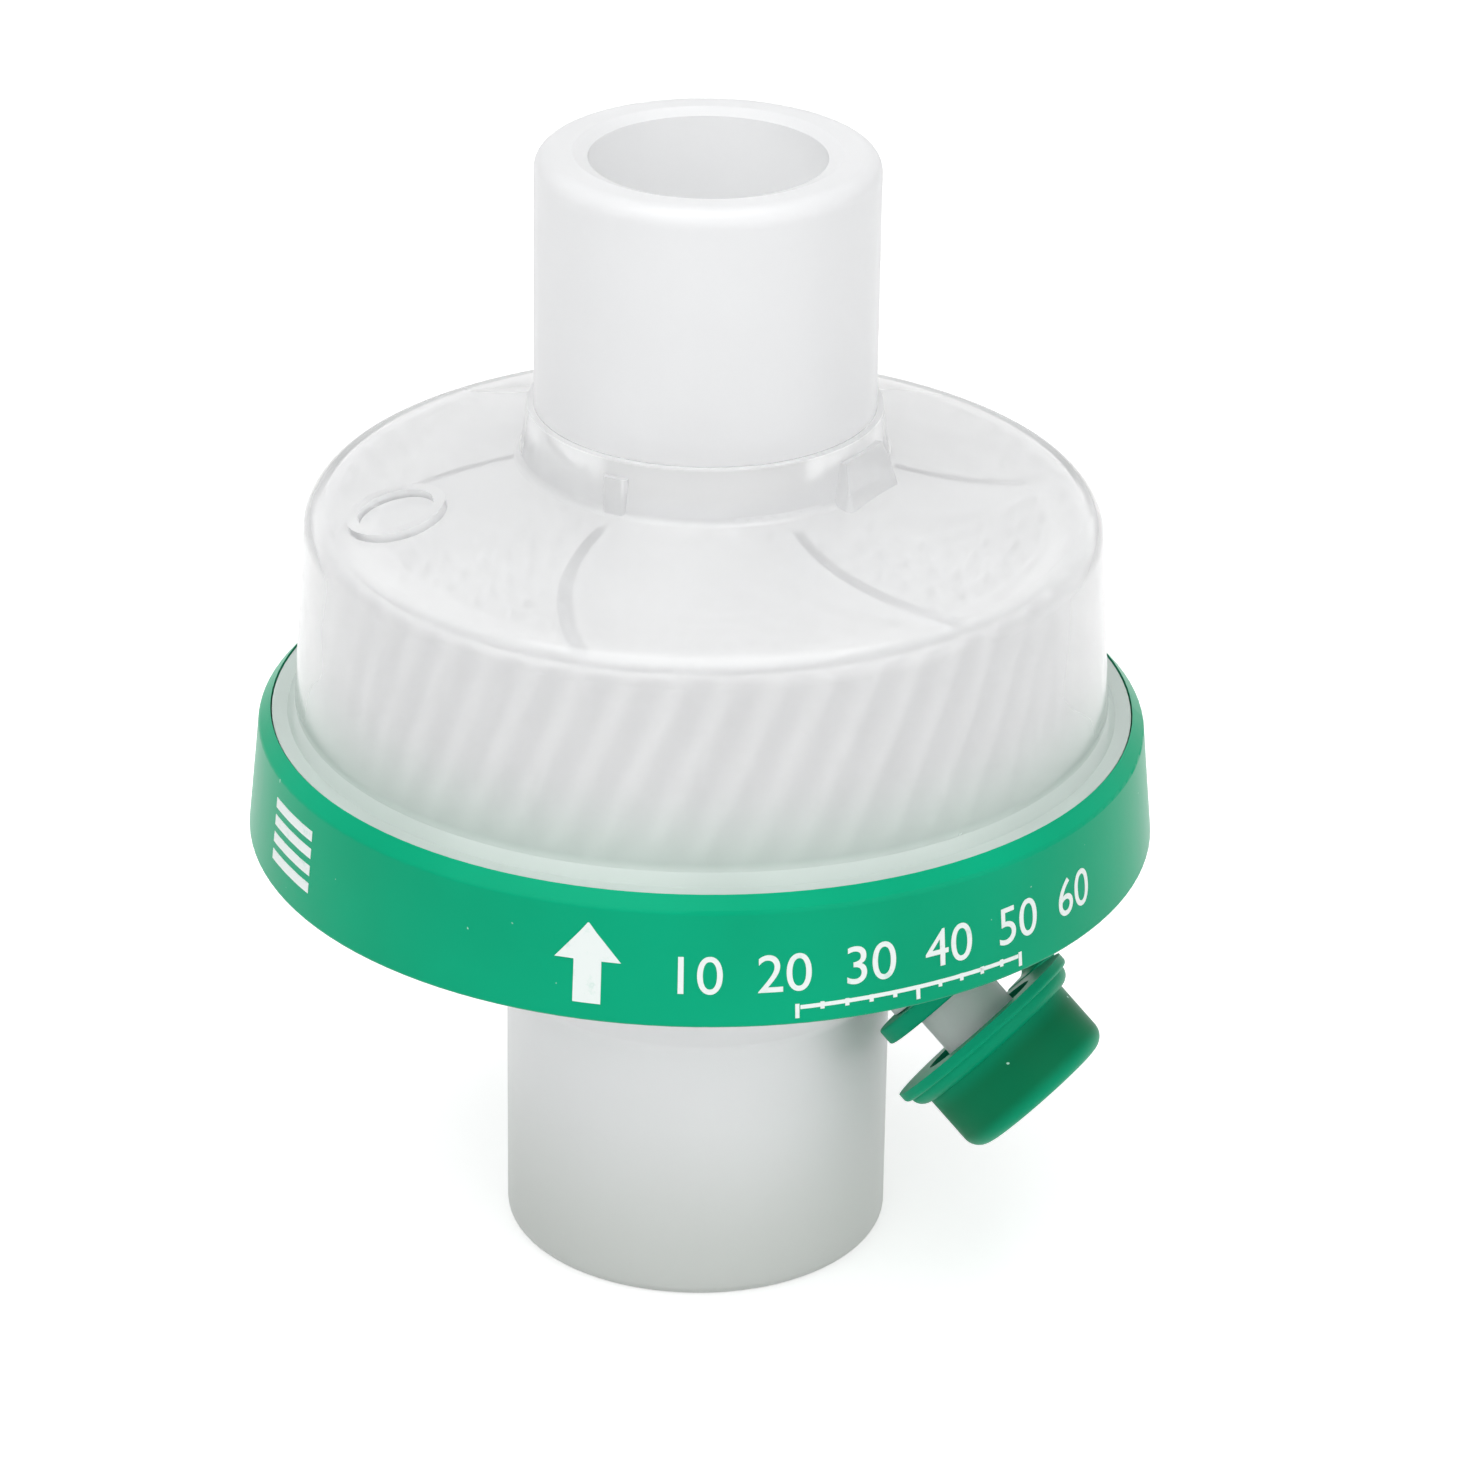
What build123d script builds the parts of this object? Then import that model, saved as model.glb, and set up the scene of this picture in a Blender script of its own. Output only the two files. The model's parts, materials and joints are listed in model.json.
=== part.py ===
from build123d import *
import math
import os

# Breathing circuit filter with a heat and moisture exchanger, in millimetres.
# The origin is the centre of the machine port's open end, which the filter stands on. +Z is the
# flow axis, towards the patient port.

# Machine port: a plain 22 mm socket that goes over a circuit cone, with a stop at its end
socket_radius = 11.1
socket_wall = 1.7
socket_lead = 0.5
socket_height = 18.7
socket_stop_wall = 1.7
socket_stop_reach = 1.5
socket_foot_round = 0.75
socket_root_round = 0.8

# Lower housing: a 45 degree cone from the socket to the welded flange
shell_wall = 1.4
chamber_radius = 25.2
cone_top_step = 1.0
lower_flange_height = 3.4
weld_width = 1.4
flange_knee_round = 0.6
support_rib_count = 8
support_rib_wall = 1.1
support_rib_start = 2.8
rib_overlap = 0.5

# Filter membrane, gripped between the two flanges
membrane_thickness = 1.2
membrane_grip = 1.2
membrane_edge_gap = 0.3

# Upper housing: a drafted wall under a shallow cone
upper_flange_height = 4.2
wall_foot_rise = 0.8
wall_foot_flare = 0.5
wall_rise = 13.4
wall_draft_run = 0.85
cover_rise = 3.5
cover_edge_round = 1.9
collar_height = 3.5
collar_top_width = 0.45
collar_foot_width = 0.9
collar_foot_round = 0.6

# Patient port: a 22 mm cone outside and a 15 mm socket inside
cone_radius = 11.0
cone_length = 16.9
inner_socket_radius = 7.6
inner_socket_depth = 16.0
inner_stop_reach = 0.6
inner_lead_width = 0.95
inner_lead_depth = 0.35
rim_round = 1.15

# Flow ribs under the cover, curved like a fan's blades
flow_rib_count = 6
flow_rib_wall = 1.0
flow_rib_start_gap = 0.1
flow_rib_start_angle = 16.0
flow_rib_swirl = 17.0
flow_rib_gap = 0.3

# Lugs on the collar: a narrow key and a wide block that tapers upwards
key_angle = -118.0
key_width = 1.7
key_reach = 1.0
key_drop = 1.0
key_round = 0.35
block_angle = -31.0
block_width = 7.0
block_reach = 2.1
block_drop = 0.9
block_round = 0.9
block_taper = 18.0

# Blank port, a raised ring moulded shut on the cover
blank_angle = 198.0
blank_edge_distance = 5.35
blank_ring_radius = 3.25
blank_ring_wall = 0.75
blank_ring_height = 0.55

# Colour ring, a hoop over the two welded flanges
ring_fit_gap = 0.1
ring_top_wall = 0.8
ring_foot_wall = 1.55
ring_lip_height = 0.8
ring_lip_width = 1.5
ring_shoulder_drop = 0.8
ring_edge_round = 0.25

# Moisture exchanger roll: corrugated paper wound on itself
roll_gap = 0.35
roll_top_gap = 0.2
roll_flute_pitch = 3.05
roll_flute_depth = 0.65
roll_flute_slant = 22.0
roll_turn_pitch = 1.9
roll_slot_width = 0.45
roll_slot_depth = 0.7
roll_core_radius = 1.6
roll_outer_turn = 2.4
roll_points_per_turn = 20

# Sampling port: a luer socket out of the lower cone, with a collar at its root. Its root's share of
# the cone's width is counted from the socket's wall.
luer_angle = -25.5
luer_tilt = 41.7
luer_root_share = 0.32
luer_length = 10.15
luer_radius = 2.75
luer_collar_width = 1.0
luer_collar_height = 1.35
luer_socket_radius = 2.15
luer_socket_depth = 6.6
luer_passage_radius = 0.9
luer_lug_width = 2.4
luer_lug_height = 1.3
luer_lug_rise = 1.1

# Luer cap: a cup with a brim, and a plug that fills the socket
cap_wall = 1.4
cap_brim_width = 1.3
cap_brim_thickness = 0.75
cap_cavity_depth = 5.0
cap_roof = 1.2
cap_lug_gap = 0.45
cap_plug_gap = 0.06
cap_plug_short = 0.6
cap_seat_gap = 0.3
cap_end_round = 1.2
cap_cove = 0.9
cap_travel = 6.5

# Tether: an anchor ring on the luer port's collar, and a strap looped back to the cap's brim
anchor_width = 2.35
anchor_thickness = 1.2
anchor_seat_gap = 0.1
anchor_bore_gap = 0.12
strap_width = 2.6
strap_thickness = 0.9
strap_slack = 0.2
strap_end_gap = 0.12

# Sizes that follow from the ones above, from the foot up
socket_outer = socket_radius + socket_wall
socket_depth = socket_height - socket_stop_wall
throat_radius = socket_radius - socket_stop_reach
slant_wall = shell_wall * math.sqrt(2)
cone_top_radius = chamber_radius - cone_top_step
lower_flange_bottom = socket_height + cone_top_radius - socket_outer
inner_cone_top = cone_top_radius + shell_wall - slant_wall
inner_cone_foot = socket_height + throat_radius - socket_outer + slant_wall
support_rib_inner = throat_radius + support_rib_start
weld_height = lower_flange_bottom + lower_flange_height
upper_seat = weld_height + membrane_thickness / 2
lower_seat = weld_height - membrane_thickness / 2
membrane_radius = chamber_radius + membrane_grip
weld_land = membrane_radius + membrane_edge_gap
flange_radius = weld_land + weld_width
flange_top = weld_height + upper_flange_height
wall_foot_radius = chamber_radius + shell_wall
wall_foot_height = flange_top + wall_foot_rise
wall_top_radius = wall_foot_radius - wall_draft_run
cover_edge_height = wall_foot_height + wall_rise
cover_inner_height = cover_edge_height + cover_rise
collar_top = cover_inner_height + collar_height
collar_top_radius = cone_radius + collar_top_width
collar_foot_radius = cone_radius + collar_foot_width
cover_slope = cover_rise / (wall_top_radius - collar_foot_radius)
cover_angle = math.degrees(math.atan(cover_slope))
port_top = collar_top + cone_length
port_bore_radius = inner_socket_radius - inner_stop_reach
inner_socket_bottom = port_top - inner_lead_depth - inner_socket_depth
flow_rib_inner = collar_foot_radius + flow_rib_start_gap
blank_centre_radius = wall_top_radius - blank_edge_distance
ring_bore = flange_radius + ring_fit_gap
ring_top_radius = ring_bore + ring_top_wall
ring_foot_radius = ring_bore + ring_foot_wall
ring_lip_reach = flange_radius - ring_lip_width
ring_bottom = lower_flange_bottom - ring_lip_height
roll_bottom = upper_seat + roll_gap
roll_top = cover_edge_height - shell_wall - roll_top_gap
wall_draft = wall_draft_run / wall_rise
roll_radius = wall_top_radius + wall_draft * (cover_edge_height - roll_top) - shell_wall - roll_gap
roll_radius = min(roll_radius, chamber_radius - roll_gap)
luer_root_reach = luer_root_share * (cone_top_radius - socket_outer)
luer_root_radius = socket_outer + luer_root_reach
luer_root_height = socket_height + luer_root_reach
luer_collar_radius = luer_radius + luer_collar_width
luer_lug_reach = luer_radius + luer_lug_rise
cap_bore = luer_lug_reach + cap_lug_gap
cap_radius = cap_bore + cap_wall
cap_brim_radius = cap_radius + cap_brim_width
cap_base = luer_length + cap_seat_gap - cap_cavity_depth
cap_end = cap_base + cap_cavity_depth + cap_roof
anchor_base = luer_collar_height + anchor_seat_gap
anchor_bore = luer_radius + anchor_bore_gap
anchor_radius = anchor_bore + anchor_width


def cover_height(radius):
    """Height of the cover's outer face at a radius."""
    return cover_edge_height + cover_slope * (wall_top_radius - radius)


def nearest_corner(corners, radius, height):
    """The corner of a half section that lies nearest to a radius and a height."""
    return min(corners, key=lambda v: math.hypot(v.X - radius, v.Y - height))


# The luer port's own frame: its origin is on the cone's face, and its axis points out and down
luer_plane = Plane(
    origin=(
        luer_root_radius * math.cos(math.radians(luer_angle)),
        luer_root_radius * math.sin(math.radians(luer_angle)),
        luer_root_height,
    ),
    x_dir=(-math.sin(math.radians(luer_angle)), math.cos(math.radians(luer_angle)), 0),
    z_dir=(
        math.cos(math.radians(luer_tilt)) * math.cos(math.radians(luer_angle)),
        math.cos(math.radians(luer_tilt)) * math.sin(math.radians(luer_angle)),
        -math.sin(math.radians(luer_tilt)),
    ),
)

os.makedirs("parts", exist_ok=True)


# Lower housing
with BuildPart() as lower_housing:
    # Ribs inside the cone carry the membrane, and are cut to the cone's own envelope
    with BuildSketch(Plane.XY.offset(socket_height)):
        with PolarLocations(0, support_rib_count):
            with Locations(((support_rib_inner + chamber_radius) / 2, 0)):
                Rectangle(chamber_radius - support_rib_inner + 2 * rib_overlap, support_rib_wall)
    extrude(amount=lower_seat - roll_gap - socket_height)
    with BuildSketch(Plane.XZ):
        with BuildLine():
            Polyline(
                (0, socket_height),
                (socket_outer - rib_overlap, socket_height),
                (cone_top_radius - rib_overlap, lower_flange_bottom),
                (cone_top_radius - rib_overlap, lower_flange_bottom + rib_overlap),
                (chamber_radius + rib_overlap, lower_flange_bottom + rib_overlap),
                (chamber_radius + rib_overlap, weld_height),
                (0, weld_height),
                close=True,
            )
        make_face()
    revolve(axis=Axis.Z, mode=Mode.INTERSECT)
    with BuildSketch(Plane.XZ) as lower_section:
        with BuildLine():
            Polyline(
                (socket_radius + socket_lead, 0),
                (socket_outer, 0),
                (socket_outer, socket_height),
                (cone_top_radius, lower_flange_bottom),
                (flange_radius, lower_flange_bottom),
                (flange_radius, weld_height),
                (weld_land, weld_height),
                (weld_land, lower_seat),
                (chamber_radius, lower_seat),
                (chamber_radius, lower_flange_bottom + shell_wall),
                (inner_cone_top, lower_flange_bottom + shell_wall),
                (throat_radius, inner_cone_foot),
                (throat_radius, socket_depth),
                (socket_radius, socket_depth),
                (socket_radius, socket_lead),
                close=True,
            )
        make_face()
        foot_corner = nearest_corner(lower_section.vertices(), socket_outer, 0)
        fillet(foot_corner, socket_foot_round)
        root_corner = nearest_corner(lower_section.vertices(), socket_outer, socket_height)
        fillet(root_corner, socket_root_round)
        knee_corner = nearest_corner(lower_section.vertices(), cone_top_radius, lower_flange_bottom)
        fillet(knee_corner, flange_knee_round)
    revolve(axis=Axis.Z)
    # Luer port, from inside the cone's wall to its mouth, with a collar and two locking lugs
    with BuildSketch(luer_plane.offset(-slant_wall / 2)):
        Circle(luer_radius)
    extrude(amount=luer_length + slant_wall / 2)
    with BuildSketch(luer_plane.offset(-slant_wall / 2)):
        Circle(luer_collar_radius)
    extrude(amount=luer_collar_height + slant_wall / 2)
    with BuildSketch(luer_plane.offset(luer_length - luer_lug_height)):
        Rectangle(luer_lug_width, 2 * luer_lug_reach)
    extrude(amount=luer_lug_height)
    with BuildSketch(luer_plane.offset(luer_length - luer_socket_depth)):
        Circle(luer_socket_radius)
    extrude(amount=luer_socket_depth, mode=Mode.SUBTRACT)
    with BuildSketch(luer_plane.offset(-2 * slant_wall)):
        Circle(luer_passage_radius)
    extrude(amount=luer_length, mode=Mode.SUBTRACT)
lower_housing.part.label = "lower_housing"
export_step(lower_housing.part, "parts/lower_housing.step")


# Filter membrane
with BuildPart() as filter_membrane:
    with BuildSketch(Plane.XY.offset(lower_seat)):
        Circle(membrane_radius)
    extrude(amount=membrane_thickness)
filter_membrane.part.label = "filter_membrane"
export_step(filter_membrane.part, "parts/filter_membrane.step")


# Moisture exchanger roll
flute_count = round(2 * math.pi * roll_radius / roll_flute_pitch)
flute_step = 360 / flute_count
roll_height = roll_top - roll_bottom
flute_twist = math.degrees(roll_height * math.tan(math.radians(roll_flute_slant)) / roll_radius)


def fluted_outline(turned):
    """Corners of the roll's wavy outline, turned about the axis by an angle."""
    crest = roll_radius
    valley = roll_radius - roll_flute_depth
    # Each flute is a crest, a slope down, a valley and a slope up, a quarter of the step each
    shape = (crest, crest, valley, valley)
    corners = []
    for flute in range(flute_count):
        for share, radius in zip((0, 0.25, 0.5, 0.75), shape):
            angle = math.radians(turned + (flute + share) * flute_step)
            corners.append((radius * math.cos(angle), radius * math.sin(angle)))
    return corners


def turn_slot(offset):
    """One side of the spiral slot between the paper's turns, from the core outwards."""
    turns = (roll_radius - roll_outer_turn - roll_core_radius) / roll_turn_pitch
    steps = int(turns * roll_points_per_turn)
    line = []
    for step in range(steps + 1):
        turn = step / roll_points_per_turn
        radius = roll_core_radius + roll_turn_pitch * turn + offset
        angle = 2 * math.pi * turn
        line.append((radius * math.cos(angle), radius * math.sin(angle)))
    return line


with BuildPart() as hme_roll:
    with BuildSketch(Plane.XY.offset(roll_bottom)):
        with BuildLine():
            Polyline(*fluted_outline(0), close=True)
        make_face()
    with BuildSketch(Plane.XY.offset(roll_top)):
        with BuildLine():
            Polyline(*fluted_outline(flute_twist), close=True)
        make_face()
    loft(ruled=True)
    for end_height, depth in ((roll_top, -roll_slot_depth), (roll_bottom, roll_slot_depth)):
        with BuildSketch(Plane.XY.offset(end_height)):
            with BuildLine():
                inner_side = turn_slot(-roll_slot_width / 2)
                outer_side = turn_slot(roll_slot_width / 2)
                Polyline(*inner_side, *reversed(outer_side), close=True)
            make_face()
        extrude(amount=depth, mode=Mode.SUBTRACT)
hme_roll.part.label = "hme_roll"
export_step(hme_roll.part, "parts/hme_roll.step")


# Upper housing
with BuildPart() as upper_housing:
    # Flow ribs: curved bands in plan, cut to the cover's own envelope
    rib_floor = roll_top + flow_rib_gap
    rib_reach = wall_top_radius - shell_wall / 2
    with BuildSketch(Plane.XY.offset(rib_floor)):
        with BuildLine():
            sides = []
            for side in (-1, 1):
                half_angle = math.degrees(flow_rib_wall / 2 / ((flow_rib_inner + rib_reach) / 2))
                for share in (0, 0.5, 1):
                    radius = flow_rib_inner + share * (rib_reach - flow_rib_inner)
                    swirl = flow_rib_start_angle - flow_rib_swirl * (1 - share**2)
                    angle = math.radians(swirl + side * half_angle)
                    sides.append((radius * math.cos(angle), radius * math.sin(angle)))
            ThreePointArc(sides[0], sides[1], sides[2])
            Line(sides[2], sides[5])
            ThreePointArc(sides[5], sides[4], sides[3])
            Line(sides[3], sides[0])
        one_rib = make_face()
        for rib in range(1, flow_rib_count):
            add(one_rib.rotate(Axis.Z, rib * 360 / flow_rib_count))
    extrude(amount=cover_inner_height - rib_floor)
    with BuildSketch(Plane.XZ):
        with BuildLine():
            Polyline(
                (0, rib_floor),
                (wall_top_radius - shell_wall / 2, rib_floor),
                (wall_top_radius - shell_wall / 2, cover_edge_height - shell_wall / 2),
                (0, cover_height(0) - shell_wall / 2),
                close=True,
            )
        make_face()
    revolve(axis=Axis.Z, mode=Mode.INTERSECT)
    with BuildSketch(Plane.XZ) as upper_section:
        with BuildLine():
            Polyline(
                (inner_socket_radius + inner_lead_width, port_top),
                (cone_radius, port_top),
                (cone_radius, collar_top),
                (collar_top_radius, collar_top),
                (collar_foot_radius, cover_inner_height),
                (wall_top_radius, cover_edge_height),
                (wall_foot_radius, wall_foot_height),
                (wall_foot_radius + wall_foot_flare, flange_top),
                (flange_radius, flange_top),
                (flange_radius, weld_height),
                (weld_land, weld_height),
                (weld_land, upper_seat),
                (chamber_radius, upper_seat),
                (chamber_radius, wall_foot_height),
                (wall_top_radius - shell_wall, cover_edge_height - shell_wall),
                (port_bore_radius + shell_wall, cover_height(port_bore_radius) - 1.5 * shell_wall),
                (port_bore_radius, cover_height(port_bore_radius) - shell_wall),
                (port_bore_radius, inner_socket_bottom),
                (inner_socket_radius, inner_socket_bottom),
                (inner_socket_radius, port_top - inner_lead_depth),
                close=True,
            )
        make_face()
        rim_corner = nearest_corner(upper_section.vertices(), cone_radius, port_top)
        fillet(rim_corner, rim_round)
        edge_corner = nearest_corner(upper_section.vertices(), wall_top_radius, cover_edge_height)
        fillet(edge_corner, cover_edge_round)
        inner_edge_corner = nearest_corner(
            upper_section.vertices(), wall_top_radius - shell_wall, cover_edge_height - shell_wall
        )
        fillet(inner_edge_corner, cover_edge_round - shell_wall)
        root_corner = nearest_corner(
            upper_section.vertices(), collar_foot_radius, cover_inner_height
        )
        fillet(root_corner, collar_foot_round)
    revolve(axis=Axis.Z)
    # Key and block on the collar
    with BuildSketch(Plane.XY.offset(cover_inner_height - shell_wall)):
        with PolarLocations(cone_radius, 1, start_angle=key_angle):
            RectangleRounded(2 * key_reach, key_width, key_round)
    extrude(amount=collar_height + shell_wall - key_drop)
    with BuildSketch(Plane.XY.offset(cover_inner_height - shell_wall)):
        with PolarLocations(cone_radius, 1, start_angle=block_angle):
            RectangleRounded(2 * block_reach, block_width, block_round)
    extrude(amount=collar_height + shell_wall - block_drop, taper=block_taper)
    # Blank port: a ring square to the cover, with a shallow floor inside it
    blank_radians = math.radians(blank_angle)
    blank_plane = Plane(
        origin=(
            blank_centre_radius * math.cos(blank_radians),
            blank_centre_radius * math.sin(blank_radians),
            cover_height(blank_centre_radius),
        ),
        x_dir=(-math.sin(blank_radians), math.cos(blank_radians), 0),
        z_dir=(
            math.sin(math.radians(cover_angle)) * math.cos(blank_radians),
            math.sin(math.radians(cover_angle)) * math.sin(blank_radians),
            math.cos(math.radians(cover_angle)),
        ),
    )
    with BuildSketch(blank_plane.offset(-shell_wall / 2)):
        Circle(blank_ring_radius)
        Circle(blank_ring_radius - blank_ring_wall, mode=Mode.SUBTRACT)
    extrude(amount=shell_wall / 2 + blank_ring_height)
upper_housing.part.label = "upper_housing"
export_step(upper_housing.part, "parts/upper_housing.step")


# Colour ring
with BuildPart() as colour_ring:
    with BuildSketch(Plane.XZ) as ring_section:
        with BuildLine():
            Polyline(
                (ring_bore, flange_top + ring_fit_gap),
                (ring_top_radius, flange_top - ring_shoulder_drop),
                (ring_foot_radius, ring_bottom),
                (ring_lip_reach, ring_bottom),
                (ring_lip_reach, lower_flange_bottom),
                (ring_bore, lower_flange_bottom),
                close=True,
            )
        make_face()
        shoulder = nearest_corner(
            ring_section.vertices(), ring_top_radius, flange_top - ring_shoulder_drop
        )
        fillet(shoulder, 2 * ring_edge_round)
        ring_foot = nearest_corner(ring_section.vertices(), ring_foot_radius, ring_bottom)
        fillet(ring_foot, ring_edge_round)
    revolve(axis=Axis.Z)
colour_ring.part.label = "colour_ring"
export_step(colour_ring.part, "parts/colour_ring.step")


# Luer cap, drawn in a half section that holds the luer axis: its cavity swallows the port's mouth
luer_section = Plane(
    origin=luer_plane.origin, x_dir=luer_plane.x_dir, z_dir=luer_plane.y_dir * -1
)
with BuildPart() as luer_cap:
    with BuildSketch(luer_section) as cap_section:
        brim_top = cap_base + cap_brim_thickness
        cove_start = (cap_radius + cap_cove, brim_top)
        cove_end = (cap_radius, brim_top + cap_cove)
        plug_radius = luer_socket_radius - cap_plug_gap
        with BuildLine():
            Polyline(cove_start, (cap_brim_radius, brim_top), (cap_brim_radius, cap_base))
            Polyline(
                (cap_brim_radius, cap_base),
                (cap_bore, cap_base),
                (cap_bore, cap_base + cap_cavity_depth),
                (plug_radius, cap_base + cap_cavity_depth),
                (plug_radius, cap_base + cap_plug_short),
                (0, cap_base + cap_plug_short),
                (0, cap_end),
                (cap_radius, cap_end),
                cove_end,
            )
            RadiusArc(cove_end, cove_start, cap_cove)
        make_face()
        end_corner = nearest_corner(cap_section.vertices(), cap_radius, cap_end)
        fillet(end_corner, cap_end_round)
        brim_corner = nearest_corner(cap_section.vertices(), cap_brim_radius, brim_top)
        fillet(brim_corner, cap_brim_thickness * 0.4)
    revolve(axis=Axis(luer_plane.origin, luer_plane.z_dir))
luer_cap.part.label = "luer_cap"
export_step(luer_cap.part, "parts/luer_cap.step")


# Tether, moulded with the cap: the strap's far end meets the brim's edge
with BuildPart() as cap_tether:
    with BuildSketch(luer_plane.offset(anchor_base)):
        Circle(anchor_radius)
        Circle(anchor_bore, mode=Mode.SUBTRACT)
    extrude(amount=anchor_thickness)
    with BuildSketch(luer_section):
        low_run = anchor_base + anchor_thickness / 2
        high_run = cap_base + cap_brim_thickness / 2
        middle = (low_run + high_run) / 2
        half = strap_thickness / 2
        outer_bend = (high_run - low_run) / 2 + half
        inner_bend = outer_bend - strap_thickness
        strap_root = (anchor_bore + anchor_radius) / 2
        strap_end = cap_brim_radius + strap_end_gap
        # The strap is as long as the cap's travel needs when it is pulled straight
        strap_length = strap_slack + math.hypot(
            strap_end - anchor_radius, high_run - low_run + cap_travel
        )
        bend_length = math.pi * (high_run - low_run) / 2
        bend_start = (strap_length - bend_length + anchor_radius + strap_end) / 2
        with BuildLine():
            Line((strap_root, low_run - half), (bend_start, low_run - half))
            ThreePointArc(
                (bend_start, low_run - half),
                (bend_start + outer_bend, middle),
                (bend_start, high_run + half),
            )
            Polyline(
                (bend_start, high_run + half),
                (strap_end, high_run + half),
                (strap_end, high_run - half),
                (bend_start, high_run - half),
            )
            ThreePointArc(
                (bend_start, high_run - half),
                (bend_start + inner_bend, middle),
                (bend_start, low_run + half),
            )
            Polyline(
                (bend_start, low_run + half),
                (strap_root, low_run + half),
                (strap_root, low_run - half),
            )
        make_face()
    extrude(amount=strap_width / 2, both=True)
cap_tether.part.label = "cap_tether"
export_step(cap_tether.part, "parts/cap_tether.step")
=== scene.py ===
"""Looks of the breathing circuit filter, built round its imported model."""

import json
import logging
import math
from collections.abc import Callable
from dataclasses import dataclass
from enum import Enum

import bmesh
import bpy
from mathutils import Euler, Matrix, Vector


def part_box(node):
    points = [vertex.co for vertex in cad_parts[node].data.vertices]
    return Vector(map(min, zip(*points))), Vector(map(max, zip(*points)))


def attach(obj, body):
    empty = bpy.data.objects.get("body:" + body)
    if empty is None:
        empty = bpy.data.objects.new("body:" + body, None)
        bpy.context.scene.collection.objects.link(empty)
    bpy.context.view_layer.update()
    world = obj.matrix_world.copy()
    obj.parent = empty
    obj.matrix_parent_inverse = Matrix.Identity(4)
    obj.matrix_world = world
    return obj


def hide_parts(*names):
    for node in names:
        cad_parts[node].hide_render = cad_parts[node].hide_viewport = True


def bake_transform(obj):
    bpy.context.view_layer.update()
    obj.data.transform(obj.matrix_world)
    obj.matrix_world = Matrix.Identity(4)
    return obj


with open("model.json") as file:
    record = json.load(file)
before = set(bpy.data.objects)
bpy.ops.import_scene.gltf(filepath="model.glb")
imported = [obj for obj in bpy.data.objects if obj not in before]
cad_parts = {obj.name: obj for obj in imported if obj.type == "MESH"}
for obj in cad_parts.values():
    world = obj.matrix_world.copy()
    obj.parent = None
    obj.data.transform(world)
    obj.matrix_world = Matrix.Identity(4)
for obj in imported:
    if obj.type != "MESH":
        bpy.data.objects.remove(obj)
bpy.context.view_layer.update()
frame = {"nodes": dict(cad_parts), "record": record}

MM = 0.001
# Vertices nearer to each other than this are one.
MERGE = 0.001 * MM
# How near to a step's place a vertex counts as on it, as a share of the step.
NEAR = 0.25
NOISE_MEAN = 0.5
# From the luer port's root in the cone to its mouth.
PORT_LENGTH = 10.15 * MM
Colour = tuple[float, float, float, float]
log = logging.getLogger("filter")


class Body(str, Enum):
    """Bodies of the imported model."""

    FILTER = "filter"
    CAP = "cap"


class Slot(str, Enum):
    """Material slots of the record."""

    PAPER = "crepe_paper"
    CAP = "green_cap"


class Wire:
    """A shader socket on which Python's arithmetic adds Math nodes."""

    def __init__(self, sheet: "Sheet", socket: bpy.types.NodeSocket) -> None:
        """Wraps an output socket.

        Args:
            sheet: the material that the socket belongs to.
            socket: the output socket.
        """
        self.sheet = sheet
        self.socket = socket

    def _math(self, operation: str, first: object, second: object) -> "Wire":
        """One Math node on two operands.

        Args:
            operation: Blender's name of the operation.
            first: the first operand, a wire or a number.
            second: the second operand, a wire or a number.

        Returns:
            The node's result.
        """
        return self.sheet.node(
            "ShaderNodeMath", {"operation": operation}, {0: first, 1: second}
        )

    def __add__(self, other: object) -> "Wire":
        """self + other."""
        return self._math("ADD", self, other)

    def __radd__(self, other: object) -> "Wire":
        """other + self."""
        return self._math("ADD", other, self)

    def __sub__(self, other: object) -> "Wire":
        """self - other."""
        return self._math("SUBTRACT", self, other)

    def __rsub__(self, other: object) -> "Wire":
        """other - self."""
        return self._math("SUBTRACT", other, self)

    def __mul__(self, other: object) -> "Wire":
        """self * other."""
        return self._math("MULTIPLY", self, other)

    def __rmul__(self, other: object) -> "Wire":
        """other * self."""
        return self._math("MULTIPLY", other, self)

    def call(self, operation: str, other: object = 0.0) -> "Wire":
        """A named Math operation, such as SQRT or MAXIMUM.

        Args:
            operation: Blender's name of the operation.
            other: the second operand, where the operation has one.

        Returns:
            The node's result.
        """
        return self._math(operation, self, other)

    def ramp(self, low: float, high: float) -> "Wire":
        """A smooth step from 0 to 1.

        Args:
            low: the value at which it leaves 0.
            high: the value at which it reaches 1.

        Returns:
            The step.
        """
        return self.sheet.node(
            "ShaderNodeMapRange",
            {"interpolation_type": "SMOOTHSTEP"},
            {0: self, 1: low, 2: high},
        )


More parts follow.
